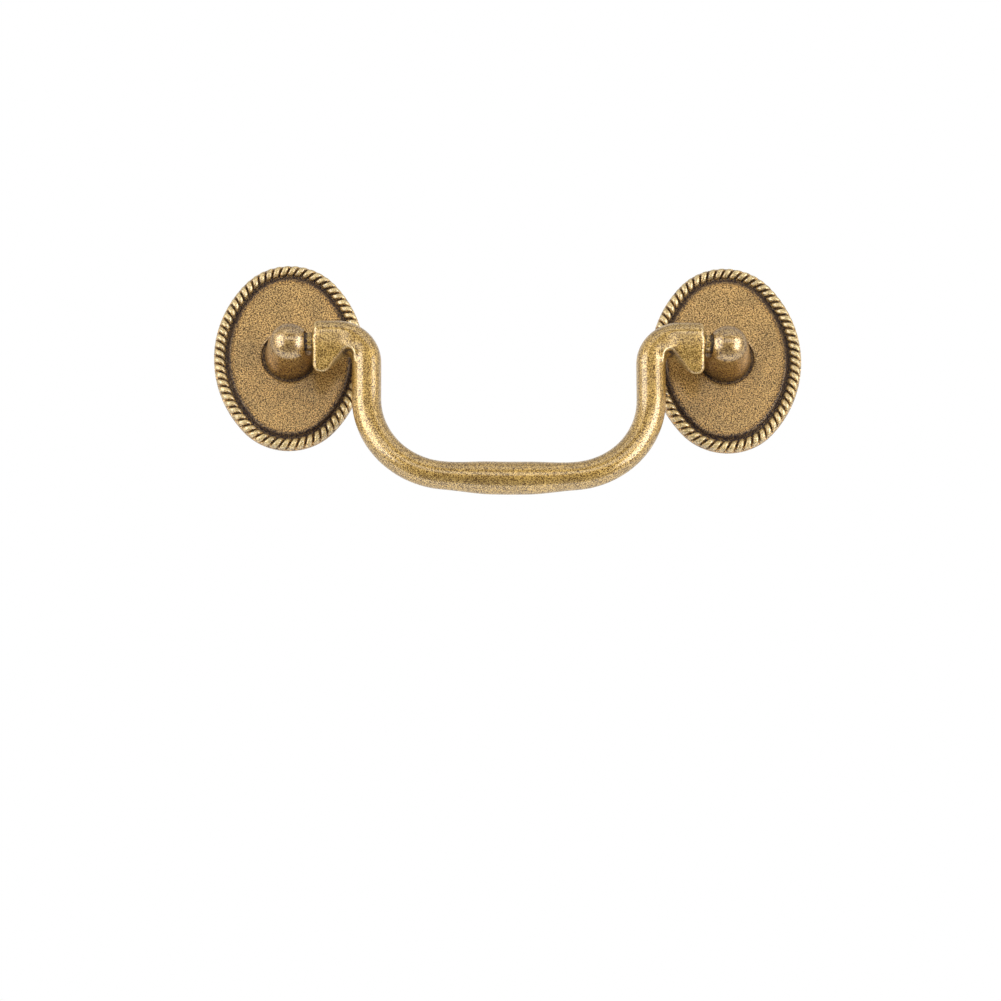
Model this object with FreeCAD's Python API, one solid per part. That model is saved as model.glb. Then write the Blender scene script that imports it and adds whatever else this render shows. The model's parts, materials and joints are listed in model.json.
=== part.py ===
import FreeCAD, Part
import math
import os
from FreeCAD import Vector

# Bail pull for a drawer: two oval rosettes with a roped rim, two domed posts and a swinging bail.
# Millimetres. The drawer front is the plane y = 0 and the pull stands out towards -Y.
# X runs along the line of the two posts, Z is up, and the origin is midway between the posts.

# Fixing
boring = 76.2              # between the two fixing screws
tap_radius = 1.725         # tapping hole for a number 8 machine screw
tap_depth = 4.9            # full-diameter depth, from the back of the rosette
drill_point = 118.0        # angle of the cone at the bottom of the tapped hole

# Rosette: a cast oval plate, drawn with four tangent arcs
rosette_width = 26.3
rosette_height = 34.9
rosette_end_radius = 10.5  # radius of the arcs at the top and the bottom of the oval
edge_height = 0.7          # plain wall under the rope
rope_radius = 1.0          # half-round bead that carries the rope pattern
cove_floor = 0.75          # height of the sunk ring inside the rope
cove_width = 0.5
lip_width = 0.3            # slope from the sunk ring up to the field
field_height = 1.35

# Rope pattern
strand_count = 64
strand_slant = 30.0        # turn of each strand away from straight across the rim
strand_gap = 0.46          # width of a groove at the crown of the rope
strand_depth = 0.72        # depth of a groove below the crown

# Seat of the post in the rosette
seat_margin = 0.5          # ring left open round the post's foot
seat_depth = 0.25
spigot_radius = 2.7
spigot_clearance = 0.05
spigot_recess = 0.1        # the spigot stops this far inside the back, so that the plate seats first

# Post
foot_radius = 4.38
dome_radius = 3.58
post_reach = 10.35         # from the drawer front to the tip of the dome

# Pivot
pivot_height = 7.6         # from the drawer front to the pivot axis
pin_radius = 1.6
pin_clearance = 0.08       # radial, in the post's side hole
pin_end_gap = 0.3          # between the pin's end and the bottom of its hole
pin_chamfer = 0.25
socket_web = 1.0           # metal left between the post's axis and the bottom of the side hole
mouth_flare = 0.75         # how much the mouth of the side hole opens out

# Bail
end_gap = 0.52             # between the dome's side and the face of the bail's end
bail_drop = 25.43          # from the pivot axis to the middle of the grip
arm_spacing = 49.26        # between the centres of the two arms
arm_radius = 2.56
shoulder_rise = 1.3        # of the shoulder bar's centre above the pivot axis
shoulder_radius = 5.2      # centre-line bend from the shoulder into the arm
corner_radius = 14.4       # centre-line bend from the arm into the grip
corner_turn = 85.4         # degrees turned by that bend, the grip's own sag makes the rest
neck_radius = 2.46         # thinnest place, where the corner meets the grip
grip_radius = 2.87         # at the middle of the grip
neck_share = 0.75          # part of the corner over which the arm thins to the neck
swell_share = 0.75         # part of the half grip over which it swells again
arm_lead = 3.6             # straight run shared by the arm and the lower bail
lead_steps = 3
corner_steps = 18
grip_steps = 9
web_inset = 0.03           # the web's sides lie this far inside the round of the shoulder

# End of the bail: the shoulder flares down into a thin tail
tail_drop = 5.7            # from the pivot axis to the lowest point of the tail
tail_side = 0.8            # the flat sides end this far below the pivot axis
tail_thickness = 1.4       # at the tip
tip_share = 0.6            # how blunt the tip is: its rise over its half thickness
tip_spare = 0.1            # the section runs on this far below the tail's rounded corner
tail_slope = 53.0          # of the tail's underside
tail_corner = 1.6          # radius between the end face and the underside
corner_lead = 0.1          # that radius starts this far outside the end face
notch_radius = 1.2         # round of the notch between the tail and the arm
notch_reach = 0.22         # how far the notch runs in over the side of the arm
end_round = 0.55           # rounding of the end face's edge

post_x = boring / 2
arm_x = arm_spacing / 2
end_x = post_x - dome_radius - end_gap
crown_height = edge_height + rope_radius
seat_floor = field_height - seat_depth
bend_x = arm_x + shoulder_radius
bend_centre = Vector(bend_x, 0, shoulder_rise - shoulder_radius)
OUT = Vector(0, -1, 0)
ALONG = Vector(1, 0, 0)
through = OUT * (pivot_height + post_reach)


def point(x, z, y=0.0):
    return Vector(x, y, z)


def prism(wire_edges, direction):
    return Part.Face(Part.Wire(wire_edges)).extrude(direction)


def line(a, b):
    return Part.LineSegment(a, b).toShape()


def arc(a, middle, b):
    return Part.Arc(a, middle, b).toShape()


def polygon(points):
    return [line(a, b) for a, b in zip(points, points[1:] + points[:1])]


# Oval: two end arcs and two side arcs that meet with one common tangent
def oval_arcs():
    half_w = rosette_width / 2
    half_h = rosette_height / 2
    end_r = rosette_end_radius
    end_c = half_h - end_r
    side_r = (half_w ** 2 + end_c ** 2 - end_r ** 2) / (2 * (half_w - end_r))
    side_c = side_r - half_w
    half_turn = math.degrees(math.atan2(end_c, side_c))
    return [
        (Vector(-side_c, 0, 0), side_r, -half_turn, half_turn),
        (Vector(0, 0, end_c), end_r, half_turn, 180 - half_turn),
        (Vector(side_c, 0, 0), side_r, 180 - half_turn, 180 + half_turn),
        (Vector(0, 0, -end_c), end_r, 180 + half_turn, 360 - half_turn),
    ]


def around(centre, radius, degrees, y=0.0):
    turn = math.radians(degrees)
    return centre + Vector(radius * math.cos(turn), y, radius * math.sin(turn))


# The oval drawn again at a distance inside the rosette's edge
def inner_oval(inset):
    edges = []
    for centre, radius, start, stop in oval_arcs():
        r = radius - inset
        ends = [around(centre, r, angle) for angle in (start, (start + stop) / 2, stop)]
        edges.append(arc(*ends))
    return edges


# Section of the rim: plain wall, half-round rope, sunk ring and the slope up to the field
def rim_section(centre, radius, angle):
    def at(inset, height):
        return around(centre, radius - inset, angle, -height)

    crown = at(rope_radius, crown_height)
    drop = edge_height - cove_floor
    inner = rope_radius + math.sqrt(rope_radius ** 2 - drop ** 2)
    cove_end = inner + cove_width
    field_edge = cove_end + lip_width
    edges = [
        line(at(0, 0), at(0, edge_height)),
        arc(at(0, edge_height), crown, at(inner, cove_floor)),
        line(at(inner, cove_floor), at(cove_end, cove_floor)),
        line(at(cove_end, cove_floor), at(field_edge, field_height)),
        line(at(field_edge, field_height), at(field_edge, 0)),
        line(at(field_edge, 0), at(0, 0)),
    ]
    return Part.Face(Part.Wire(edges)), field_edge


def rosette_blank():
    pieces = []
    for centre, radius, start, stop in oval_arcs():
        section, field_edge = rim_section(centre, radius, start)
        pieces.append(section.revolve(centre, OUT, stop - start))
    field = prism(inner_oval(field_edge), OUT * field_height)
    return field.fuse(pieces).removeSplitter()


# Stations evenly spaced along the crown of the rope, each with its outward and onward directions
def strand_stations():
    arcs = [(c, r - rope_radius, a, b) for c, r, a, b in oval_arcs()]
    lengths = [r * math.radians(b - a) for _, r, a, b in arcs]
    pitch = sum(lengths) / strand_count
    stations = []
    for number in range(strand_count):
        way = (number + 0.5) * pitch
        for (centre, r, start, _), length in zip(arcs, lengths):
            if way <= length:
                angle = start + math.degrees(way / r)
                outward = around(Vector(), 1, angle)
                onward = around(Vector(), 1, angle + 90)
                stations.append((around(centre, r, angle), outward, onward))
                break
            way -= length
    return stations


# One groove between two strands: a V-shaped cutter that lies slanting across the rope
def strand_groove(place, outward, onward):
    slant = math.radians(strand_slant)
    along = outward * math.cos(slant) - onward * math.sin(slant)
    across = outward * math.sin(slant) + onward * math.cos(slant)
    reach = (rope_radius + cove_width / 2) / math.cos(slant)
    spread = strand_gap / 2 / strand_depth
    top = strand_depth + rope_radius / 2
    start = place - along * reach
    root = start + OUT * (crown_height - strand_depth)
    left = root + OUT * top - across * spread * top
    right = root + OUT * top + across * spread * top
    return prism(polygon([root, left, right]), along * 2 * reach)


def rosette(x):
    body = rosette_blank()
    body = body.cut([strand_groove(*station) for station in strand_stations()])
    seat = Part.makeCylinder(foot_radius + seat_margin, seat_depth * 2, OUT * seat_floor, OUT)
    bore = Part.makeCylinder(spigot_radius + spigot_clearance, field_height * 2, Vector(), OUT)
    body = body.cut([seat, bore])
    body.translate(Vector(x, 0, 0))
    return body


# The post is turned about its own axis: spigot, foot, tapering side and half-round dome
def post_blank():
    centre = post_reach - dome_radius
    rise = centre - seat_floor
    reach = math.hypot(foot_radius, rise)
    lean = math.acos(dome_radius / reach) - math.atan2(rise, foot_radius)
    side = Vector(dome_radius * math.cos(lean), -centre - dome_radius * math.sin(lean), 0)
    half = (math.pi / 2 + lean) / 2
    shoulder = Vector(dome_radius * math.cos(half), -centre - dome_radius * math.sin(half), 0)
    tip = Vector(0, -post_reach, 0)
    edges = [
        line(Vector(0, -spigot_recess, 0), Vector(spigot_radius, -spigot_recess, 0)),
        line(Vector(spigot_radius, -spigot_recess, 0), Vector(spigot_radius, -seat_floor, 0)),
        line(Vector(spigot_radius, -seat_floor, 0), Vector(foot_radius, -seat_floor, 0)),
        line(Vector(foot_radius, -seat_floor, 0), side),
        arc(side, shoulder, tip),
        line(tip, Vector(0, -spigot_recess, 0)),
    ]
    return Part.Face(Part.Wire(edges)).revolve(Vector(), OUT, 360)


def tapped_hole():
    point_depth = tap_radius / math.tan(math.radians(drill_point / 2))
    hole = Part.makeCylinder(tap_radius, tap_depth, Vector(), OUT)
    cone = Part.makeCone(tap_radius, 0, point_depth, OUT * tap_depth, OUT)
    return hole.fuse(cone)


# Blind side hole for the pin, with a flared mouth, opening towards +X
def pivot_socket():
    hole_radius = pin_radius + pin_clearance
    mouth = Vector(math.sqrt(dome_radius ** 2 - hole_radius ** 2) - mouth_flare, -pivot_height, 0)
    bottom = Vector(socket_web, -pivot_height, 0)
    hole = Part.makeCylinder(hole_radius, foot_radius, bottom, Vector(1, 0, 0))
    flare_length = foot_radius - mouth.x
    flare = Part.makeCone(hole_radius, hole_radius + flare_length, flare_length, mouth, Vector(1, 0, 0))
    return hole.fuse(flare)


def post(side):
    body = post_blank().cut([tapped_hole(), pivot_socket()])
    if side > 0:
        body.rotate(Vector(), Vector(0, 1, 0), 180)
    body.translate(Vector(side * post_x, 0, 0))
    return body


# Centre line of the lower bail as (x, z, heading, bar radius), from the left arm to the middle of the grip.
# The heading is the angle from straight down towards +X.
def lower_stations():
    turn = math.radians(corner_turn)
    grip_curve = (arm_x - corner_radius * (1 - math.cos(turn))) / math.cos(turn)
    start_z = -bail_drop + corner_radius * math.sin(turn) + grip_curve * (1 - math.sin(turn))
    stations = []
    for step in range(lead_steps):
        stations.append((-arm_x, start_z + arm_lead * (1 - step / lead_steps), 0, arm_radius))
    for step in range(corner_steps + 1):
        share = step / corner_steps
        heading = turn * share
        x = -arm_x + corner_radius * (1 - math.cos(heading))
        z = start_z - corner_radius * math.sin(heading)
        stations.append((x, z, heading, eased(arm_radius, neck_radius, share / neck_share)))
    corner_x, corner_z = x, z
    for step in range(1, grip_steps + 1):
        share = step / grip_steps
        heading = turn + (math.pi / 2 - turn) * share
        x = corner_x + grip_curve * (math.cos(turn) - math.cos(heading))
        z = corner_z - grip_curve * (math.sin(heading) - math.sin(turn))
        stations.append((x, z, heading, eased(neck_radius, grip_radius, share / swell_share)))
    return stations


# Smooth change from one value to another as the share goes from 0 to 1
def eased(first, last, share):
    return first + (last - first) * (1 - math.cos(math.pi * min(1.0, share))) / 2


# Round section square to the bail's centre line, split at its front and back so that the halves line up
def bar_circle(x, z, heading, radius):
    side = Vector(math.cos(heading), 0, math.sin(heading)) * radius
    centre = Vector(x, -pivot_height, z)
    front = centre + OUT * radius
    back = centre - OUT * radius
    return Part.Wire([arc(front, centre + side, back), arc(back, centre - side, front)])


def lower_bail():
    half = lower_stations()
    other = [(-x, z, math.pi - heading, radius) for x, z, heading, radius in reversed(half[:-1])]
    return Part.makeLoft([bar_circle(*station) for station in half + other], True, False)


# Shoulder bend and straight arm, on the right side
def shoulder_bar():
    start = point(bend_x, shoulder_rise, -pivot_height)
    middle = around(bend_centre, shoulder_radius, 135, -pivot_height)
    end = point(arm_x, bend_centre.z, -pivot_height)
    low = point(arm_x, lower_stations()[0][1], -pivot_height)
    spine = Part.Wire([arc(start, middle, end), line(end, low)])
    ring = Part.Wire(Part.Circle(start, Vector(1, 0, 0), arm_radius).toShape())
    return spine.makePipeShell([ring], True, False)


# Section of the bail's end, looking along X: a round top, flat sides and a tail that thins to its tip.
# The shrink makes the same section smaller all round.
def end_section(x, shrink, flat_top=False):
    def at(y, z):
        return Vector(x, -pivot_height + y, z)

    half = arm_radius - shrink
    tip = tail_thickness / 2 - shrink * tip_share
    low = -tail_drop - tip_spare + shrink
    tip_z = low + tip * tip_share
    fall = tip_z + tail_side
    bow = ((half - tip) ** 2 + fall ** 2) / (2 * (half - tip))
    halfway = math.asin(-fall / bow) / 2
    bow_y = half - bow * (1 - math.cos(halfway))
    bow_z = -tail_side - bow * math.sin(halfway)
    edges = [
        line(at(half, shoulder_rise), at(half, -tail_side)),
        arc(at(half, -tail_side), at(bow_y, bow_z), at(tip, tip_z)),
        arc(at(tip, tip_z), at(0, low), at(-tip, tip_z)),
        arc(at(-tip, tip_z), at(-bow_y, bow_z), at(-half, -tail_side)),
        line(at(-half, -tail_side), at(-half, shoulder_rise)),
    ]
    if flat_top:
        edges.append(line(at(-half, shoulder_rise), at(half, shoulder_rise)))
    else:
        edges.append(arc(at(-half, shoulder_rise), at(0, shoulder_rise + half), at(half, shoulder_rise)))
    return Part.Wire(edges)


# The flared block at the very end, its end face rounded over all round
def end_block():
    straight = end_x - end_round
    block = Part.Face(end_section(bend_x, 0)).extrude(Vector(straight - bend_x, 0, 0))
    rounding = []
    for turn in (0, 30, 60, 90):
        forward = end_round * math.sin(math.radians(turn))
        shrink = end_round * (1 - math.cos(math.radians(turn)))
        rounding.append(end_section(straight + forward, shrink))
    return block.fuse(Part.makeLoft(rounding, True, False))


# The web that carries the tail's flat sides on into the bend
def shoulder_web():
    web = Part.Face(end_section(arm_x, web_inset, True)).extrude(Vector(shoulder_radius, 0, 0))
    outer = [
        arc(point(bend_x, shoulder_rise), around(bend_centre, shoulder_radius, 135), point(arm_x, bend_centre.z)),
        line(point(arm_x, bend_centre.z), point(0, bend_centre.z)),
        line(point(0, bend_centre.z), point(0, end_x)),
        line(point(0, end_x), point(bend_x, end_x)),
        line(point(bend_x, end_x), point(bend_x, shoulder_rise)),
    ]
    return web.cut(prism(outer, through))


# What is cut away below the end: outside the tail's corner, under its slope and out of the notch
def underside_cutter():
    slope = math.radians(tail_slope)
    far = end_x * 2
    uphill = Vector(-math.cos(slope), 0, math.sin(slope))
    below = Vector(-math.sin(slope), 0, -math.cos(slope))
    corner = point(end_x + corner_lead - tail_corner, -tail_drop + tail_corner)
    corner_touch = corner + below * tail_corner
    notch_left = arm_x + arm_radius - notch_reach
    run = (corner_touch.x + below.x * notch_radius - notch_left - notch_radius) / math.cos(slope)
    notch = corner_touch + uphill * run + below * notch_radius
    notch_touch = notch - below * notch_radius
    edges = [
        line(point(far, corner.z), around(corner, tail_corner, 0)),
        arc(around(corner, tail_corner, 0), around(corner, tail_corner, -(90 + tail_slope) / 2), corner_touch),
        line(corner_touch, notch_touch),
        arc(notch_touch, around(notch, notch_radius, 90), point(notch_left, notch.z)),
        line(point(notch_left, notch.z), point(notch_left, -far)),
        line(point(notch_left, -far), point(far, -far)),
        line(point(far, -far), point(far, corner.z)),
    ]
    return prism(edges, through)


def pivot_pin():
    start = bend_x
    tip = post_x - socket_web - pin_end_gap
    shaft = Part.makeCylinder(pin_radius, tip - pin_chamfer - start, point(start, 0, -pivot_height), ALONG)
    nose_start = point(tip - pin_chamfer, 0, -pivot_height)
    nose = Part.makeCone(pin_radius, pin_radius - pin_chamfer, pin_chamfer, nose_start, ALONG)
    return shaft.fuse(nose)


def bail_end():
    end = end_block().fuse(shoulder_web()).cut(underside_cutter())
    return end.fuse([shoulder_bar(), pivot_pin()])


def bail():
    right_end = bail_end()
    left_end = right_end.mirror(Vector(), ALONG)
    return lower_bail().fuse([left_end, right_end]).removeSplitter()


def save(shape, name):
    solid = shape.Solids[0] if len(shape.Solids) == 1 else shape
    print(name, "solids", len(shape.Solids), "valid", shape.isValid(), "volume", round(shape.Volume, 1))
    solid.exportStep("parts/" + name + ".step")


os.makedirs("parts", exist_ok=True)
save(rosette(-post_x), "rosette_left")
save(rosette(post_x), "rosette_right")
save(post(-1), "post_left")
save(post(1), "post_right")
save(bail(), "bail")
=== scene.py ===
# %% [markdown]
# A bail pull in aged brass: two oval rosettes with a rope border, two domed posts and a swinging bail.
# The solids come from the CAD frame, in metres, with the drawer front at y = 0 and the pull standing out
# towards -Y. The frame fixes every size and place, so this lesson only makes surfaces finer and gives
# them their finish. Loading the frame comes first, and its box is kept and printed.

# %% Load the frame
import json
import math

import bpy
from mathutils import Matrix, Vector

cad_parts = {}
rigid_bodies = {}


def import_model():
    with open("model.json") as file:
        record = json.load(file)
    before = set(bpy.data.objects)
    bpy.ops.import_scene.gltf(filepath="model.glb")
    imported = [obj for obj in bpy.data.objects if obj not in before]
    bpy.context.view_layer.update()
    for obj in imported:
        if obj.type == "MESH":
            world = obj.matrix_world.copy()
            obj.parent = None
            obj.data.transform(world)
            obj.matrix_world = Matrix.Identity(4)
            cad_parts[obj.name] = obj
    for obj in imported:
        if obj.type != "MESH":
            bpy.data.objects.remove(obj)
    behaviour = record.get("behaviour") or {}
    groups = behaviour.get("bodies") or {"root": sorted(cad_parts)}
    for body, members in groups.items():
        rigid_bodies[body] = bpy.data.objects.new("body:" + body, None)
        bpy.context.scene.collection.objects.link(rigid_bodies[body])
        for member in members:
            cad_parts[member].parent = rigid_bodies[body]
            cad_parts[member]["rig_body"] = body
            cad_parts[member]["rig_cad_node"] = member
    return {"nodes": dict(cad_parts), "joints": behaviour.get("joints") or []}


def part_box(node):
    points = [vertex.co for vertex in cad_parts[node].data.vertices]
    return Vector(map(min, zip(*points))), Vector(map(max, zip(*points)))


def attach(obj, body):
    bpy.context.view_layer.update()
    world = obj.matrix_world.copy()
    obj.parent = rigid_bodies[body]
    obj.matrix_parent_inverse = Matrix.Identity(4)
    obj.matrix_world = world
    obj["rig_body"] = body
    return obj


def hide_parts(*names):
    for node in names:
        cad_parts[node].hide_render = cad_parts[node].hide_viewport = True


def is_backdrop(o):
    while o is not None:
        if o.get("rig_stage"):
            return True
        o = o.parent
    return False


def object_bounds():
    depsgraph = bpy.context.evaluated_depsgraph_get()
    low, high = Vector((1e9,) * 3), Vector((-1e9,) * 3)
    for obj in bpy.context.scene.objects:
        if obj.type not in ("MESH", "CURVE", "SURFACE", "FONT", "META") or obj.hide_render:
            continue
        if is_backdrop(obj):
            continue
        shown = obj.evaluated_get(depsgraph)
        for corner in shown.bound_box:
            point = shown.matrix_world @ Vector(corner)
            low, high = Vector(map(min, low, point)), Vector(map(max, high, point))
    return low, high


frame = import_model()
cad_box = [list(corner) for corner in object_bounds()]
mm = 0.001
print("CAD box in mm:", [[round(c / mm, 2) for c in corner] for corner in cad_box])

# %% [markdown]
# Modelling by operators works on whatever is selected, so a few small helpers keep that under control:
# one picks a single object, one applies a modifier, and one finishes a piece by merging doubles and
# turning its faces outwards.

# %% Helpers for selecting and applying
def pick(obj):
    if bpy.context.object and bpy.context.object.mode != "OBJECT":
        bpy.ops.object.mode_set(mode="OBJECT")
    bpy.ops.object.select_all(action="DESELECT")
    obj.select_set(True)
    bpy.context.view_layer.objects.active = obj


def new_primitive(add, name, **values):
    bpy.ops.object.select_all(action="DESELECT")
    add(**values)
    obj = bpy.context.object
    obj.name = obj.data.name = name
    return obj


def apply_modifier(obj, kind, **values):
    pick(obj)
    modifier = obj.modifiers.new(kind.lower(), kind)
    for name, value in values.items():
        setattr(modifier, name, value)
    bpy.ops.object.modifier_apply(modifier=modifier.name)


def close_mesh(obj, distance=1e-7, sharp_degrees=55):
    pick(obj)
    bpy.ops.object.mode_set(mode="EDIT")
    bpy.ops.mesh.select_all(action="SELECT")
    bpy.ops.mesh.remove_doubles(threshold=distance)
    bpy.ops.mesh.normals_make_consistent(inside=False)
    bpy.ops.object.mode_set(mode="OBJECT")
    bpy.ops.object.shade_smooth_by_angle(angle=math.radians(sharp_degrees))


def copy_of(obj, name):
    twin = obj.copy()
    twin.data = obj.data.copy()
    twin.name = twin.data.name = name
    bpy.context.scene.collection.objects.link(twin)
    return twin


# %% [markdown]
# The rosette is an oval of four tangent arcs: two end arcs and two wide side arcs. Its width and height
# are read from the frame. A place on the oval is found by its share of the way round, measured along the
# crown of the rope, and an inset moves it inwards along the radius of its own arc. Because tangent arcs
# stay tangent when they are offset, every ring of the section can be drawn from this one function.

# %% The oval of the rosette
low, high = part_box("rosette_left")
post_x = -(low.x + high.x) / 2
half_width = (high.x - low.x) / 2
half_height = (high.z - low.z) / 2
end_radius = 10.5 * mm
rope_radius = 1.0 * mm
end_centre = half_height - end_radius
side_radius = (half_width**2 + end_centre**2 - end_radius**2) / (2 * (half_width - end_radius))
side_centre = side_radius - half_width
half_turn = math.atan2(end_centre, side_centre)
oval_arcs = (
    (Vector((-side_centre, 0, 0)), side_radius, -half_turn, half_turn),
    (Vector((0, 0, end_centre)), end_radius, half_turn, math.pi - half_turn),
    (Vector((side_centre, 0, 0)), side_radius, math.pi - half_turn, math.pi + half_turn),
    (Vector((0, 0, -end_centre)), end_radius, math.pi + half_turn, 2 * math.pi - half_turn),
)
crown_lengths = [(radius - rope_radius) * (stop - start) for _, radius, start, stop in oval_arcs]
oval_length = sum(crown_lengths)


def oval_point(share, inset, height):
    way = (share % 1.0) * oval_length
    for (centre, radius, start, _), length in zip(oval_arcs, crown_lengths):
        if way <= length:
            break
        way -= length
    angle = start + way / (radius - rope_radius)
    reach = radius - inset
    return centre + Vector((reach * math.cos(angle), -height, reach * math.sin(angle)))


print("Rope length along the crown in mm:", round(oval_length / mm, 2))

# %% [markdown]
# The rope border is the feature one looks at first. On the casting it is a half-round bead with 64
# strands that wind round it, each a little convex, with a narrow groove between neighbours. A bump
# texture could fake it, but its outline and its glints would be missing. So the rim is built ring by
# ring: a circle primitive is extruded, and each new ring is set on the oval. The columns of vertices
# follow the strands, so every groove runs along an edge of the mesh and stays crisp.

# %% The rope's section and its strands
strand_count = 64
# Columns across one strand, as shares of the pitch. They stand closest beside the groove.
strand_columns = (-0.5, -0.455, -0.41, -0.36, -0.29, -0.19, -0.06, 0.06, 0.19, 0.29, 0.36, 0.41, 0.455)
strand_wind = 0.40 * mm        # advance along the rim for each radian round the bead
groove_depth = 0.5 * mm
groove_width = 0.14            # as a share of the pitch
strand_bulge = 0.1 * mm
edge_height = 0.7 * mm
cove_floor = 0.75 * mm
rope_rows = 17
half_pitch = 0.5               # from the crown of a strand to the middle of its groove
fade_margin = 0.7              # rows by which the strands fade in and out beyond the bead
rope_rub = 0.6                 # how far the strands are rubbed bright
groove_stain_start = 0.9       # width of a groove's stain at the outer foot, in groove widths
groove_stain_growth = 0.7      # and how much wider it gets on the way round the bead
low_side_start = 2.3           # radians round the bead where its inner side starts to darken
low_side_span = 0.84
low_side_stain = 0.8
back_stain = 0.2
cove_stain = 0.95
cove_fade = 0.9                # millimetres over which the cove's stain runs out
# Patina in the sunk seat ring round the post's foot, with painted shade from the post over it.
seat_patina_and_shade = 0.85
bead_end = math.pi - math.asin((cove_floor - edge_height) / rope_radius)


def strand_shape(across):
    groove = math.exp(-(((half_pitch - abs(across)) / groove_width) ** 2))
    return across, groove, strand_bulge * (2 * across) ** 2


def strand_stain(across, turn):
    width = groove_width * (groove_stain_start + groove_stain_growth * turn / bead_end)
    return math.exp(-(((half_pitch - abs(across)) / width) ** 4))


def wind_share(turn):
    return strand_wind * (turn - math.pi / 2) / oval_length


# %% [markdown]
# The rest of the section is written as pairs of inset and height in millimetres: the plain wall, the
# sunk ring inside the rope and the soft slope up to the field. From there the rings change from the oval
# to circles, for the open ring round the post's foot and the bore of its spigot. With each ring goes a
# mask that says how deep a place lies, from 0 on the open surface to 1 in a groove. In the ring round the
# post's foot it is patina with painted shade from the post over it. It is stored on the mesh, where the
# dark patina and the painted shade read it.

# %% Rings from the back edge over the rope to the bore
field_height = 1.35 * mm
foot_radius = 4.38 * mm
seat_gap = 0.5 * mm
seat_radius = foot_radius + seat_gap
seat_depth = 0.25 * mm
seat_floor = field_height - seat_depth
bore_radius = 2.75 * mm
wall_section = ((0.5, 0.0), (0.1, 0.0), (0.0, 0.1), (0.0, 0.35), (0.0, 0.66))
cove_section = (
    (2.06, 0.72), (2.18, 0.73), (2.3, 0.77), (2.4, 0.86), (2.48, 0.99), (2.56, 1.14), (2.66, 1.265),
    (2.8, 1.335), (3.0, 1.35), (3.3, 1.35), (3.6, 1.35),
)
field_inset = cove_section[-1][0] * mm
field_steps = 8
seat_section = (
    (seat_radius + 0.35 * mm, field_height), (seat_radius + 0.07 * mm, field_height - 0.01 * mm),
    (seat_radius, field_height - 0.07 * mm), (seat_radius - 0.03 * mm, seat_floor),
    (foot_radius - 0.3 * mm, seat_floor), (bore_radius, seat_floor), (bore_radius, 0.0),
    (bore_radius + 0.4 * mm, 0.0),
)


def rosette_rings():
    outer_wind = wind_share(0.0)
    inner_wind = wind_share(bead_end)
    columns = [
        (strand + across) / strand_count for strand in range(strand_count) for across in strand_columns
    ]
    shapes = [strand_shape(across) for _ in range(strand_count) for across in strand_columns]
    for inset, height in wall_section:
        yield [(oval_point(c + outer_wind, inset * mm, height * mm), back_stain) for c in columns]
    for row in range(rope_rows):
        turn = bead_end * row / (rope_rows - 1)
        fade = math.sin(math.pi * (row + fade_margin) / (rope_rows - 1 + 2 * fade_margin)) ** 0.5
        low_side = max(0.0, (turn - low_side_start) / low_side_span)
        ring = []
        for column, (across, groove, bulge) in zip(columns, shapes):
            radius = rope_radius - fade * (groove * groove_depth + bulge)
            place = oval_point(
                column + wind_share(turn),
                rope_radius - radius * math.cos(turn),
                edge_height + radius * math.sin(turn),
            )
            stain = min(1.0, strand_stain(across, turn) * fade + low_side_stain * low_side**2)
            ring.append((place, stain - rope_rub * fade * (1 - stain)))
        yield ring
    for inset, height in cove_section:
        deep = cove_stain * min(1.0, max(0.0, (cove_section[-1][0] - inset) / cove_fade))
        yield [(oval_point(c + inner_wind, inset * mm, height * mm), deep) for c in columns]
    field_edge = [oval_point(c + inner_wind, field_inset, 0.0) for c in columns]
    first_seat = seat_section[0][0]
    level = Vector((0, -field_height, 0))
    for step in range(1, field_steps):
        share = step / field_steps
        yield [(p.lerp(p.normalized() * first_seat, share) + level, 0.0) for p in field_edge]
    for radius, height in seat_section:
        # The seat ring: patina with painted shade.
        deep = seat_patina_and_shade if radius <= seat_radius else 0.0
        yield [(p.normalized() * radius + Vector((0, -height, 0)), deep) for p in field_edge]
    yield [(oval_point(c + outer_wind, wall_section[0][0] * mm, 0.0), back_stain) for c in columns]


# %% Build one rosette and copy it
def store_mask(obj, values):
    layer = obj.data.attributes.new("deep", "FLOAT", "POINT")
    layer.data.foreach_set("value", values)


def build_rosette(name):
    rings = list(rosette_rings())
    obj = new_primitive(
        bpy.ops.mesh.primitive_circle_add, name,
        vertices=len(rings[0]), radius=half_width, fill_type="NOTHING",
    )
    bpy.ops.object.mode_set(mode="EDIT")
    bpy.ops.mesh.select_all(action="SELECT")
    for _ in rings[1:]:
        bpy.ops.mesh.extrude_edges_indiv()
    bpy.ops.object.mode_set(mode="OBJECT")
    places = [place for ring in rings for place, _ in ring]
    obj.data.vertices.foreach_set("co", [value for place in places for value in place])
    store_mask(obj, [deep for ring in rings for _, deep in ring])
    obj.data.update()
    close_mesh(obj)
    return obj


rosette_left = build_rosette("rosette_left_cast")
rosette_right = copy_of(rosette_left, "rosette_right_cast")
rosette_left.data.transform(Matrix.Translation((-post_x, 0, 0)))
rosette_right.data.transform(Matrix.Translation((post_x, 0, 0)))
print("Faces of one rosette:", len(rosette_left.data.polygons))
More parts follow.
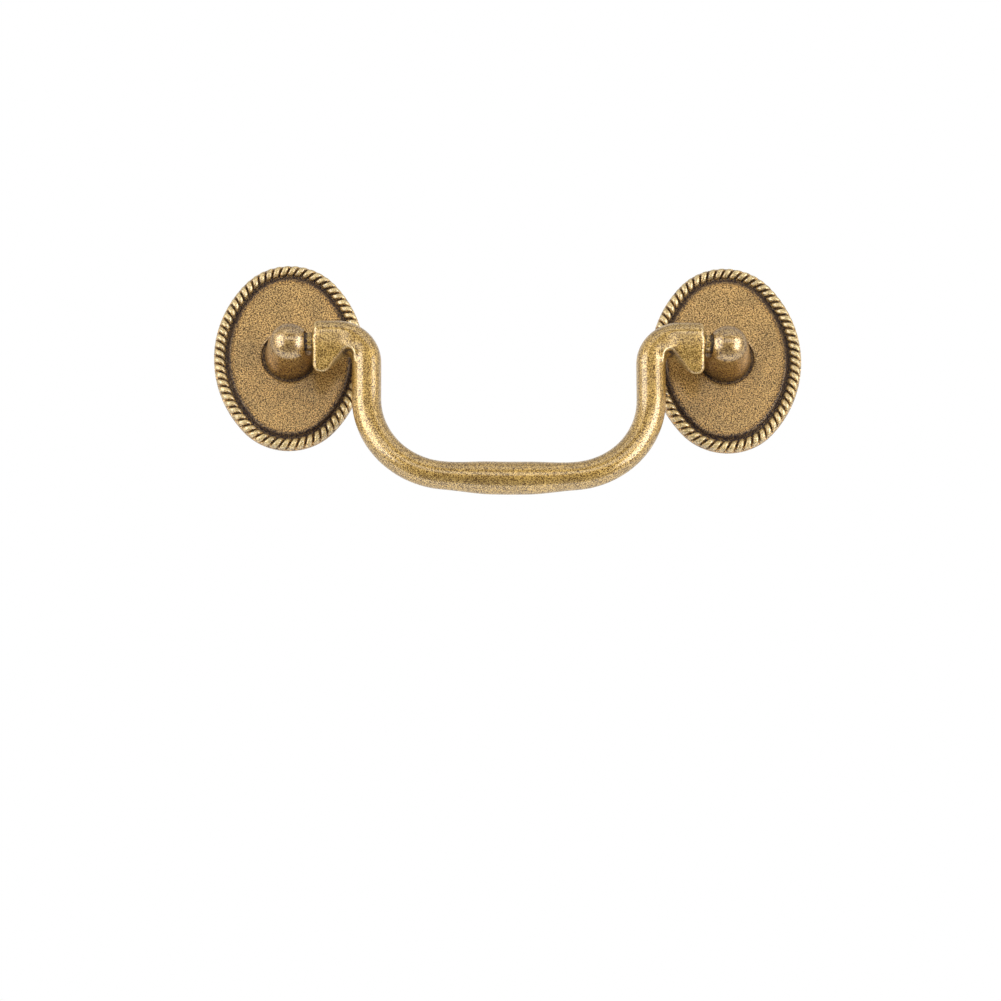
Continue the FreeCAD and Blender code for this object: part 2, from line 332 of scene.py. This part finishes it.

# %% [markdown]
# The post is a turned part: spigot, seat, tapering side and a half-round dome. What a lathe does, the
# Spin operator does: half the section is drawn as a row of vertices, and spun round the post's axis.
# The profile goes on inside as the tapped hole. Its thread is drawn as rings one pitch apart, which look
# like the screw thread from behind and spin in the same step. A cylinder and a cone are then cut away for
# the blind hole that takes the bail's pin and for its flared mouth. The mask is darkest in the seat and
# fades up the side, as patina with painted shade over it; in the hole it is dark again as painted shade.

# %% The post's profile
dome_radius = 3.58 * mm
post_reach = -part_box("post_left")[0].y
dome_centre = post_reach - dome_radius
spigot_radius = 2.7 * mm
spigot_end = 0.1 * mm
spigot_bevel = 0.08 * mm
foot_bevel = 0.1 * mm
tap_radius = 1.725 * mm
tap_depth = 4.9 * mm
drill_point = 0.6              # depth of the drill's cone as a share of its radius
thread_radius = 2.05 * mm
thread_crest = 0.06 * mm       # how far the crests stay back from the tapping drill's wall
thread_pitch = 25.4 / 32 * mm
thread_turns = 5
thread_run_out = 0.2 * mm
mouth_bevel = 0.12 * mm
side_start = 0.02              # first share of the way up the side, just above the foot's edge
side_steps = 6
dome_steps = 22
spin_steps = 96
pivot_height = -frame["joints"][0]["pos_m"][1]


def post_profile():
    rise = dome_centre - seat_floor
    lean = math.acos(dome_radius / math.hypot(foot_radius, rise)) - math.atan2(rise, foot_radius)
    side = Vector((dome_radius * math.cos(lean), dome_centre + dome_radius * math.sin(lean)))
    foot = Vector((foot_radius, seat_floor))
    points = [(0.0, tap_depth + tap_radius * drill_point), (tap_radius, tap_depth)]
    for turn in range(thread_turns):
        root = tap_depth - (turn + 0.5) * thread_pitch
        points += [(thread_radius, root), (tap_radius + thread_crest, root - thread_pitch / 2)]
    points += [(thread_radius, spigot_end + thread_run_out), (thread_radius + mouth_bevel, spigot_end)]
    points += [(spigot_radius - spigot_bevel, spigot_end), (spigot_radius, spigot_end + spigot_bevel)]
    points += [(spigot_radius, seat_floor), (foot_radius - foot_bevel, seat_floor)]
    for step in range(side_steps + 1):
        share = side_start + (1 - side_start) * step / side_steps
        points.append(tuple(foot.lerp(side, share)))
    for step in range(1, dome_steps + 1):
        angle = lean + (math.pi / 2 - lean) * step / dome_steps
        points.append((dome_radius * math.cos(angle), dome_centre + dome_radius * math.sin(angle)))
    return points


def spin_profile(name, points, steps):
    obj = new_primitive(bpy.ops.mesh.primitive_plane_add, name, size=mm)
    bpy.ops.object.mode_set(mode="EDIT")
    bpy.ops.mesh.select_all(action="SELECT")
    bpy.ops.mesh.merge(type="CENTER")
    for _ in points[1:]:
        bpy.ops.mesh.extrude_vertices_move()
    bpy.ops.object.mode_set(mode="OBJECT")
    for vertex, (radius, height) in zip(obj.data.vertices, points):
        vertex.co = (radius, -height, 0)
    bpy.ops.object.mode_set(mode="EDIT")
    bpy.ops.mesh.select_all(action="SELECT")
    bpy.ops.mesh.spin(steps=steps, angle=2 * math.pi, center=(0, 0, 0), axis=(0, 1, 0))
    bpy.ops.object.mode_set(mode="OBJECT")
    return obj


# %% The post, its side hole, its patina and its painted shade
pin_hole_radius = 1.68 * mm
hole_bottom = 1.0 * mm
hole_sides = 48
mouth_flare = 0.75 * mm
dome_margin = 0.01 * mm
# Painted shade inside the pin hole and its flared mouth.
hole_painted_shade = 0.9
# The foot line and the lower side are darkened as patina with painted shade over it.
foot_line_patina_and_shade = 0.8
foot_line_height = 0.45 * mm   # height over which a full stain at the foot would run out
side_patina_and_shade = 0.5


def side_hole(name):
    mouth = math.sqrt(dome_radius**2 - pin_hole_radius**2) - mouth_flare
    outside = foot_radius
    cutter = new_primitive(
        bpy.ops.mesh.primitive_cylinder_add, name, vertices=hole_sides,
        radius=pin_hole_radius, depth=outside - hole_bottom,
        location=((outside + hole_bottom) / 2, -pivot_height, 0), rotation=(0, math.pi / 2, 0),
    )
    flare = new_primitive(
        bpy.ops.mesh.primitive_cone_add, name + "_mouth", vertices=hole_sides,
        radius1=pin_hole_radius, radius2=pin_hole_radius + outside - mouth, depth=outside - mouth,
        location=((outside + mouth) / 2, -pivot_height, 0), rotation=(0, math.pi / 2, 0),
    )
    return cutter, flare


def cut_away(obj, cutter):
    apply_modifier(obj, "BOOLEAN", operation="DIFFERENCE", solver="EXACT", object=cutter)
    bpy.data.objects.remove(cutter)


# Patina with painted shade: full in the seat, a dark line at the foot, fading up the side.
def foot_patina_and_shade(height):
    if height <= seat_floor:
        return 1.0
    close = foot_line_patina_and_shade - (height - seat_floor) / foot_line_height
    side = side_patina_and_shade * (1 - (height - seat_floor) / (dome_centre - seat_floor))
    return max(0.0, close, side)


def from_pivot(vertex):
    return math.hypot(vertex.co.y + pivot_height, vertex.co.z)


def build_post(name):
    obj = spin_profile(name, post_profile(), spin_steps)
    close_mesh(obj)
    for cutter in side_hole(name + "_hole"):
        cut_away(obj, cutter)
    close_mesh(obj, sharp_degrees=35)
    masks = [foot_patina_and_shade(-vertex.co.y) for vertex in obj.data.vertices]
    for index, vertex in enumerate(obj.data.vertices):
        x, y, z = vertex.co
        from_centre = math.hypot(math.hypot(x, z), -y - dome_centre)
        on_dome = abs(from_centre - dome_radius) < dome_margin
        # Painted shade inside the side hole and its mouth.
        if x > 0 and from_pivot(vertex) < pin_hole_radius + mouth_flare and not on_dome:
            masks[index] = hole_painted_shade
    store_mask(obj, masks)
    return obj


post_left = build_post("post_left_turned")
post_right = copy_of(post_left, "post_right_turned")
post_right.data.transform(Matrix.Rotation(math.pi, 4, "Y"))
post_left.data.transform(Matrix.Translation((-post_x, 0, 0)))
post_right.data.transform(Matrix.Translation((post_x, 0, 0)))
print("Faces of one post:", len(post_left.data.polygons))

# %% [markdown]
# The bail is one casting with soft edges everywhere. Its CAD solid is exact but its creases are sharp,
# so a copy of it is merged, remeshed into even little squares and smoothed: that rounds each crease a
# few tenths of a millimetre, as the foundry's sand and the polishing wheel do. The copy stays inside the
# size of the solid.

# %% The bail as a softened copy of its solid
remesh_size = 0.17 * mm
smooth_turns = 28
bar_radius = 2.56 * mm
pin_radius = 1.6 * mm
end_gap = 0.5 * mm
end_face = post_x - dome_radius - end_gap


def ramp(value, start, stop):
    part = min(1.0, max(0.0, (value - start) / (stop - start)))
    return part * part * (3 - 2 * part)


def build_bail(name):
    obj = copy_of(frame["nodes"]["bail"], name)
    obj.parent = None
    close_mesh(obj, distance=1e-6)
    apply_modifier(obj, "REMESH", mode="VOXEL", voxel_size=remesh_size, use_smooth_shade=True)
    file_tails(obj)
    apply_modifier(obj, "SMOOTH", factor=0.5, iterations=smooth_turns)
    wear_ends(obj)
    return obj


# %% [markdown]
# The two ends are where fingers and the file have been. From the bar's crest the front falls back in one
# flat slope towards the tip of the tail, and the rim of the end face is worn quite round. Both are small
# moves of the vertices: one pushes the front of the tail back, the other smooths a vertex group only.
# Both leave the pivot pins alone, so that the hinge stays true.

# %% The filed front of the tails and the worn ends
crest_height = 1.3 * mm
slope_span = 4.6 * mm
slope_depth = 1.15 * mm
tail_start = (26.8 * mm, 30.0 * mm)
pin_room = (1.7 * mm, 2.4 * mm)
face_band = 0.2 * mm
worn_length = 1.7 * mm
worn_edge = 0.3 * mm
worn_turns = 45
tip_wear = 0.6
tip_band = (1.0 * mm, 2.5 * mm)


def file_tails(obj):
    for vertex in obj.data.vertices:
        x, y, z = vertex.co
        way = min(1.0, (crest_height - z) / slope_span)
        forward = (-y - pivot_height) / bar_radius
        if way > 0 and forward > 0:
            depth = slope_depth * way * ramp(abs(x), *tail_start)
            if abs(x) > end_face - face_band:
                depth *= ramp(from_pivot(vertex), *pin_room)
            vertex.co.y += depth * min(1.0, forward)


def wear_ends(obj):
    group = obj.vertex_groups.new(name="worn ends")
    for vertex in obj.data.vertices:
        x, _, z = vertex.co
        near_end = ramp(abs(x), end_face - worn_length, end_face - worn_edge)
        near_tip = tip_wear * ramp(-z, *tip_band) * ramp(abs(x), *tail_start)
        weight = max(near_end, near_tip) * ramp(from_pivot(vertex), *pin_room)
        if weight > 0:
            group.add([vertex.index], weight, "REPLACE")
    apply_modifier(obj, "SMOOTH", factor=0.5, iterations=worn_turns, vertex_group="worn ends")
    obj.vertex_groups.clear()


# %% [markdown]
# The bail's mask comes from its shape. Each vertex is compared with the middle of its neighbours: where
# it stands proud the brass is rubbed bright and a painted highlight goes on the edge, where it lies low
# the patina stays with painted shade over it. The pins are darkened with painted shade all along, and
# with painted shadow where they leave the end face and where they go into the posts.

# %% The mask of the bail
edge_bend = (0.0045 * mm, 0.012 * mm)
# Proud edges: wear, strengthened into a painted highlight.
edge_wear_and_highlight = 0.9
hollow_bend = (-0.0005 * mm, -0.006 * mm)
# Low places on the bail: patina with painted shade over it.
hollow_patina_and_shade = 0.8
pin_margin = 0.15 * mm
# The whole pin is darkened as painted shade; face_shadow and hole_shadow add painted shadow at the end
# face and in the post.
pin_painted_shade = 0.25
face_shadow = 0.35 * mm
hole_shadow = (0.7 * mm, 1.2 * mm)


def roundness(mesh):
    sums = [Vector() for _ in mesh.vertices]
    counts = [0] * len(sums)
    for edge in mesh.edges:
        first, second = edge.vertices
        step = mesh.vertices[second].co - mesh.vertices[first].co
        sums[first] += step
        sums[second] -= step
        counts[first] += 1
        counts[second] += 1
    return [
        -total.dot(vertex.normal) / count for total, count, vertex in zip(sums, counts, mesh.vertices)
    ]


def bail_mask(vertex, bend):
    x = vertex.co.x
    # Painted shade on the pins, deepest as painted shadow at the end face and inside the post.
    if abs(x) > end_face and from_pivot(vertex) < pin_radius + pin_margin:
        near_face = math.exp(-(((abs(x) - end_face) / face_shadow) ** 2))
        inside = ramp(abs(x), end_face + hole_shadow[0], end_face + hole_shadow[1])
        return min(1.0, pin_painted_shade + (1 - pin_painted_shade) * near_face + inside)
    # Proud edges go towards straw: wear with a painted highlight.
    if bend > edge_bend[0]:
        return -edge_wear_and_highlight * min(1.0, (bend - edge_bend[0]) / (edge_bend[1] - edge_bend[0]))
    # Low places: patina with painted shade.
    return min(hollow_patina_and_shade, max(0.0, (hollow_bend[0] - bend) / (hollow_bend[0] - hollow_bend[1])))


bail = build_bail("bail_cast")
store_mask(bail, [bail_mask(v, bend) for v, bend in zip(bail.data.vertices, roundness(bail.data))])
print("Faces of the bail:", len(bail.data.polygons))

# %% [markdown]
# The finish is aged brass: a yellow alloy that was blackened and rubbed back, so that fine dark specks
# stay in the sandy texture and the sunk places stay almost black. Two effects are shared by all pieces
# and are built once as node groups: a speckle for colour and height, and a mask for patina and painted
# shade, which also brings up rubbed metal and painted highlights.

# %% Helpers for node trees
def new_group(name, inputs, outputs):
    group = bpy.data.node_groups.new(name, "ShaderNodeTree")
    for label, kind, value in inputs:
        socket = group.interface.new_socket(label, in_out="INPUT", socket_type=kind)
        if value is not None:
            socket.default_value = value
    for label, kind in outputs:
        group.interface.new_socket(label, in_out="OUTPUT", socket_type=kind)
    return group, group.nodes.new("NodeGroupInput"), group.nodes.new("NodeGroupOutput")


def noise(tree, vector, scale, detail, roughness):
    node = tree.nodes.new("ShaderNodeTexNoise")
    node.inputs["Scale"].default_value = scale
    node.inputs["Detail"].default_value = detail
    node.inputs["Roughness"].default_value = roughness
    tree.links.new(vector, node.inputs["Vector"])
    return node.outputs["Fac"]


def remap(tree, value, low_in, high_in, low_out=0.0, high_out=1.0):
    node = tree.nodes.new("ShaderNodeMapRange")
    labels = ("From Min", "From Max", "To Min", "To Max")
    for label, number in zip(labels, (low_in, high_in, low_out, high_out)):
        node.inputs[label].default_value = number
    tree.links.new(value, node.inputs["Value"])
    return node.outputs["Result"]


def maths(tree, operation, first, second, clamp=False):
    node = tree.nodes.new("ShaderNodeMath")
    node.operation = operation
    node.use_clamp = clamp
    for socket, value in zip(node.inputs, (first, second)):
        if isinstance(value, (int, float)):
            socket.default_value = value
        else:
            tree.links.new(value, socket)
    return node.outputs["Value"]


# %% The speckle group and the group for patina and painted shade
fine_share = 0.65              # how much of the grain is fine, the rest is coarse
speck_range = (0.435, 0.565)
cloud_range = (0.3, 0.7)
patina_and_shade_range = (0.1, 0.9)
# A negative mask is metal rubbed bright, and on the bail's edges also a painted highlight.
rubbed_and_highlight_range = (0.0, -0.9)     # a negative mask stands for metal that is rubbed bright


def build_speckle_group():
    group, start, end = new_group(
        "sandy speckle", [("Vector", "NodeSocketVector", None)],
        [("Speck", "NodeSocketFloat"), ("Cloud", "NodeSocketFloat"), ("Height", "NodeSocketFloat")],
    )
    vector = start.outputs["Vector"]
    fine = noise(group, vector, scale=6600.0, detail=1.0, roughness=0.5)
    coarse = noise(group, vector, scale=3800.0, detail=1.0, roughness=0.5)
    cloud = noise(group, vector, scale=260.0, detail=3.0, roughness=0.55)
    fine_part = maths(group, "MULTIPLY", fine, fine_share)
    coarse_part = maths(group, "MULTIPLY", coarse, 1 - fine_share)
    mixed = maths(group, "ADD", fine_part, coarse_part)
    group.links.new(remap(group, mixed, *speck_range), end.inputs["Speck"])
    group.links.new(remap(group, cloud, *cloud_range), end.inputs["Cloud"])
    group.links.new(mixed, end.inputs["Height"])
    return group


def build_patina_and_shade_group():
    group, start, end = new_group(
        "patina and painted shade mask",
        [
            ("Deep", "NodeSocketFloat", 0.0),
            ("Speck", "NodeSocketFloat", 0.5),
            ("Softness", "NodeSocketFloat", 0.5),
        ],
        [("Mask", "NodeSocketFloat"), ("Rubbed and highlighted", "NodeSocketFloat")],
    )
    centred = maths(group, "SUBTRACT", start.outputs["Speck"], 0.5)
    broken = maths(group, "MULTIPLY", centred, start.outputs["Softness"])
    raised = maths(group, "SUBTRACT", start.outputs["Deep"], broken)
    group.links.new(remap(group, raised, *patina_and_shade_range), end.inputs["Mask"])
    group.links.new(remap(group, raised, *rubbed_and_highlight_range), end.inputs["Rubbed and highlighted"])
    return group


speckle_group = build_speckle_group()
patina_and_shade_group = build_patina_and_shade_group()

# %% [markdown]
# One function makes every brass finish from a handful of values, because the pieces differ only in how
# yellow, how dark and how glossy they are. The specks mix a dark, a middle and a light tone; the patina
# and the painted shade go over that, and rubbed metal and painted highlights go towards straw; roughness
# follows the specks, and a very small bump breaks up the highlights. A thin lacquer lies over the bare
# metal and leaves out the patina and the painted shade.

# %% The aged brass
# near_black is the colour of patina in the hollows and of painted shade.
near_black = (0.020, 0.012, 0.017)
# straw is rubbed brass, and also the colour of the painted highlights on the bail's edges.
straw = (0.85, 0.68, 0.33)
cloud_strength = 0.35
patina_and_shade_softness = 0.5
patina_roughness = 0.2         # added to the metal's own where the patina covers it
metal_range = (0.92, 0.35)     # from bare metal to full patina
lacquer_range = (0.72, 1.0)    # weight of the coat over a dark speck and over a light one
lacquer_roughness = 0.22
lacquer_ior = 2.2
relief_distance = 0.05 * mm
colour_inputs = (6, 7)         # the A and B sockets of a Mix node that mixes colours
colour_output = 2              # and its Result


def mix_colour(tree, factor, first, second):
    node = tree.nodes.new("ShaderNodeMix")
    node.data_type = "RGBA"
    tree.links.new(factor, node.inputs["Factor"])
    for index, value in zip(colour_inputs, (first, second)):
        if isinstance(value, tuple):
            node.inputs[index].default_value = (*value, 1.0)
        else:
            tree.links.new(value, node.inputs[index])
    return node.outputs[colour_output]


def aged_brass(name, dark, light, rough_low, rough_high, bump):
    material = bpy.data.materials.new(name)
    material.use_nodes = True
    tree = material.node_tree
    shader = tree.nodes["Principled BSDF"]
    coordinates = tree.nodes.new("ShaderNodeTexCoord")
    speckle = tree.nodes.new("ShaderNodeGroup")
    speckle.node_tree = speckle_group
    tree.links.new(coordinates.outputs["Object"], speckle.inputs["Vector"])
    deep = tree.nodes.new("ShaderNodeAttribute")
    deep.attribute_name = "deep"
    mask = tree.nodes.new("ShaderNodeGroup")
    mask.node_tree = patina_and_shade_group
    mask.inputs["Softness"].default_value = patina_and_shade_softness
    tree.links.new(deep.outputs["Fac"], mask.inputs["Deep"])
    tree.links.new(speckle.outputs["Speck"], mask.inputs["Speck"])
    grain = mix_colour(tree, speckle.outputs["Speck"], dark, light)
    cloud = remap(tree, speckle.outputs["Cloud"], 0.0, 1.0, 0.0, cloud_strength)
    cloudy = mix_colour(tree, cloud, grain, dark)
    # Rubbed metal and painted highlights go to straw; patina and painted shade go to near black.
    bright = mix_colour(tree, mask.outputs["Rubbed and highlighted"], cloudy, straw)
    colour = mix_colour(tree, mask.outputs["Mask"], bright, near_black)
    tree.links.new(colour, shader.inputs["Base Color"])
    lacquer = remap(tree, speckle.outputs["Speck"], 0.0, 1.0, *lacquer_range)
    clear = maths(tree, "SUBTRACT", lacquer, mask.outputs["Mask"], clamp=True)
    tree.links.new(clear, shader.inputs["Coat Weight"])
    shader.inputs["Coat Roughness"].default_value = lacquer_roughness
    shader.inputs["Coat IOR"].default_value = lacquer_ior
    rough = remap(tree, speckle.outputs["Speck"], 0.0, 1.0, rough_high, rough_low)
    dulled = maths(tree, "MULTIPLY", mask.outputs["Mask"], patina_roughness)
    covered = maths(tree, "ADD", rough, dulled, clamp=True)
    tree.links.new(covered, shader.inputs["Roughness"])
    metal = remap(tree, mask.outputs["Mask"], 0.0, 1.0, *metal_range)
    tree.links.new(metal, shader.inputs["Metallic"])
    relief = tree.nodes.new("ShaderNodeBump")
    relief.inputs["Strength"].default_value = bump
    relief.inputs["Distance"].default_value = relief_distance
    tree.links.new(speckle.outputs["Height"], relief.inputs["Height"])
    tree.links.new(relief.outputs["Normal"], shader.inputs["Normal"])
    return material


rosette_brass = aged_brass(
    "rosette_brass", dark=(0.045, 0.017, 0.001), light=(0.97, 0.60, 0.195),
    rough_low=0.58, rough_high=0.72, bump=0.5,
)
post_brass = aged_brass(
    "post_brass", dark=(0.06, 0.022, 0.001), light=(0.82, 0.49, 0.12),
    rough_low=0.42, rough_high=0.56, bump=0.4,
)
bail_brass = aged_brass(
    "bail_brass", dark=(0.13, 0.060, 0.002), light=(0.87, 0.55, 0.108),
    rough_low=0.5, rough_high=0.64, bump=0.4,
)

# %% [markdown]
# Every piece rides on the body that its solid belongs to, and takes over from that solid. The bail came
# from a copy of its solid and still has the solid's own labels, so these come off first.

# %% Seat the pieces on the frame
pieces = (
    (rosette_left, "rosette_left", "base", rosette_brass, "rosette_brass"),
    (rosette_right, "rosette_right", "base", rosette_brass, "rosette_brass"),
    (post_left, "post_left", "base", post_brass, "post_brass"),
    (post_right, "post_right", "base", post_brass, "post_brass"),
    (bail, "bail", "bail", bail_brass, "bail_brass"),
)
for piece, node, body, material, slot in pieces:
    piece.data.materials.clear()
    piece.data.materials.append(material)
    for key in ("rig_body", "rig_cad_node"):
        if key in piece:
            del piece[key]
    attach(piece, body)
    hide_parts(node)

# %% [markdown]
# The camera stands where the photographer's did, a little below the pull and looking up at it, with a
# long lens. It is turned so that the frame's origin lands on its own pixel of the picture.

# %% The camera
picture_size = 1001
camera_distance = 1.2
camera_elevation = math.radians(-23.6)
camera_azimuth = math.radians(-1.33)
camera_roll = math.radians(-0.2)
focal_pixels = 6871.0
origin_pixel = (507.77, 360.51)


def place_camera():
    data = bpy.data.cameras.new("camera")
    data.sensor_width = 36.0
    data.lens = data.sensor_width * focal_pixels / picture_size
    data.clip_end = 20.0
    camera = bpy.data.objects.new("camera", data)
    bpy.context.scene.collection.objects.link(camera)
    back = Vector((
        math.sin(camera_azimuth) * math.cos(camera_elevation),
        -math.cos(camera_azimuth) * math.cos(camera_elevation),
        math.sin(camera_elevation),
    ))
    level = Vector((math.cos(camera_azimuth), math.sin(camera_azimuth), 0))
    right = Matrix.Rotation(camera_roll, 3, back) @ level
    axes = Matrix((right, back.cross(right), back))
    centre = picture_size / 2
    offset = Vector((
        (origin_pixel[0] - centre) / focal_pixels,
        (centre - origin_pixel[1]) / focal_pixels,
        -1,
    ))
    swing = Vector((0, 0, -1)).rotation_difference(offset.normalized()).to_matrix()
    turned = (swing @ axes).transposed().to_4x4()
    camera.matrix_world = Matrix.Translation(back * camera_distance) @ turned
    bpy.context.scene.camera = camera


place_camera()

# %% [markdown]
# Brass shows what stands around it. The photograph has a broad soft light on the left, a narrower one on
# the right, a wide one over the camera and a weak one above, and white all round behind. The lamps are
# area lights, slightly warm. The world is white for the camera, and for mirrored and transmitted rays
# that leave towards the backdrop behind the pull. To everything else it is a soft grey that darkens
# towards the front. The floor is pale paper: a little glow that only camera, mirrored and transmitted
# rays see makes it white, and it still takes a shadow.

# %% Lights, world and floor
lamp_tint = (1.0, 0.96, 0.87)


def soft_light(name, direction, distance, size, power):
    data = bpy.data.lights.new(name, "AREA")
    data.shape = "RECTANGLE"
    data.size, data.size_y = size
    data.energy = power
    data.color = lamp_tint
    light = bpy.data.objects.new(name, data)
    bpy.context.scene.collection.objects.link(light)
    place = Vector(direction).normalized() * distance
    facing = place.to_track_quat("Z", "Y").to_matrix().to_4x4()
    light.matrix_world = Matrix.Translation(place) @ facing


soft_light("light_left", direction=(-0.81, -0.58, 0.05), distance=1.0, size=(0.8, 1.1), power=8.6)
soft_light("light_right", direction=(0.80, -0.58, -0.05), distance=1.0, size=(0.6, 1.0), power=8.5)
soft_light("light_over_camera", direction=(0.1, -0.99, 0.13), distance=1.4, size=(2.0, 0.5), power=4.8)
soft_light("light_above", direction=(0.1, -0.6, 0.8), distance=1.0, size=(1.4, 0.6), power=2.1)

tone_span = (-0.8, 0.6)        # from the front of the world to its back, along Y
tone_range = (0.14, 0.85)
backdrop_span = (0.2, 0.6)


def ray_kinds(tree):
    path = tree.nodes.new("ShaderNodeLightPath")
    mirrored = maths(tree, "ADD", path.outputs["Is Glossy Ray"], path.outputs["Is Transmission Ray"])
    return path.outputs["Is Camera Ray"], mirrored


def build_world():
    world = bpy.data.worlds.new("studio")
    bpy.context.scene.world = world
    world.use_nodes = True
    tree = world.node_tree
    background = tree.nodes["Background"]
    coordinates = tree.nodes.new("ShaderNodeTexCoord")
    split = tree.nodes.new("ShaderNodeSeparateXYZ")
    tree.links.new(coordinates.outputs["Generated"], split.inputs["Vector"])
    tone = remap(tree, split.outputs["Y"], *tone_span, *tone_range)
    camera_ray, mirrored = ray_kinds(tree)
    behind = remap(tree, split.outputs["Y"], *backdrop_span)
    backdrop = maths(tree, "MULTIPLY", mirrored, behind)
    white = maths(tree, "MAXIMUM", camera_ray, backdrop)
    tree.links.new(maths(tree, "MAXIMUM", tone, white), background.inputs["Color"])


floor_size = 8.0
floor_front = 0.15
floor_height = -0.62
floor_centre = (0, floor_size / 2 - floor_front, floor_height)
paper_white = (0.86, 0.86, 0.86, 1)
paper_roughness = 0.9
paper_glow = 0.37


def build_floor():
    floor = new_primitive(
        bpy.ops.mesh.primitive_plane_add, "floor", size=floor_size, location=floor_centre,
    )
    bpy.ops.object.transform_apply(location=True)
    material = bpy.data.materials.new("floor_paper")
    material.use_nodes = True
    tree = material.node_tree
    shader = tree.nodes["Principled BSDF"]
    shader.inputs["Base Color"].default_value = paper_white
    shader.inputs["Roughness"].default_value = paper_roughness
    shader.inputs["Emission Strength"].default_value = paper_glow
    camera_ray, mirrored = ray_kinds(tree)
    seen = maths(tree, "MAXIMUM", camera_ray, mirrored)
    tree.links.new(seen, shader.inputs["Emission Color"])
    floor.data.materials.append(material)
    floor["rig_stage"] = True


build_world()
build_floor()
bpy.context.scene.view_settings.view_transform = "Standard"

# %% [markdown]
# The last cell prints the box of the dressed pull, to set beside the box of the solids.

# %% Print the box of the dressed pull
visual_box = [list(corner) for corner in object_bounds()]
print("Visual box in mm:", [[round(c / mm, 2) for c in corner] for corner in visual_box])
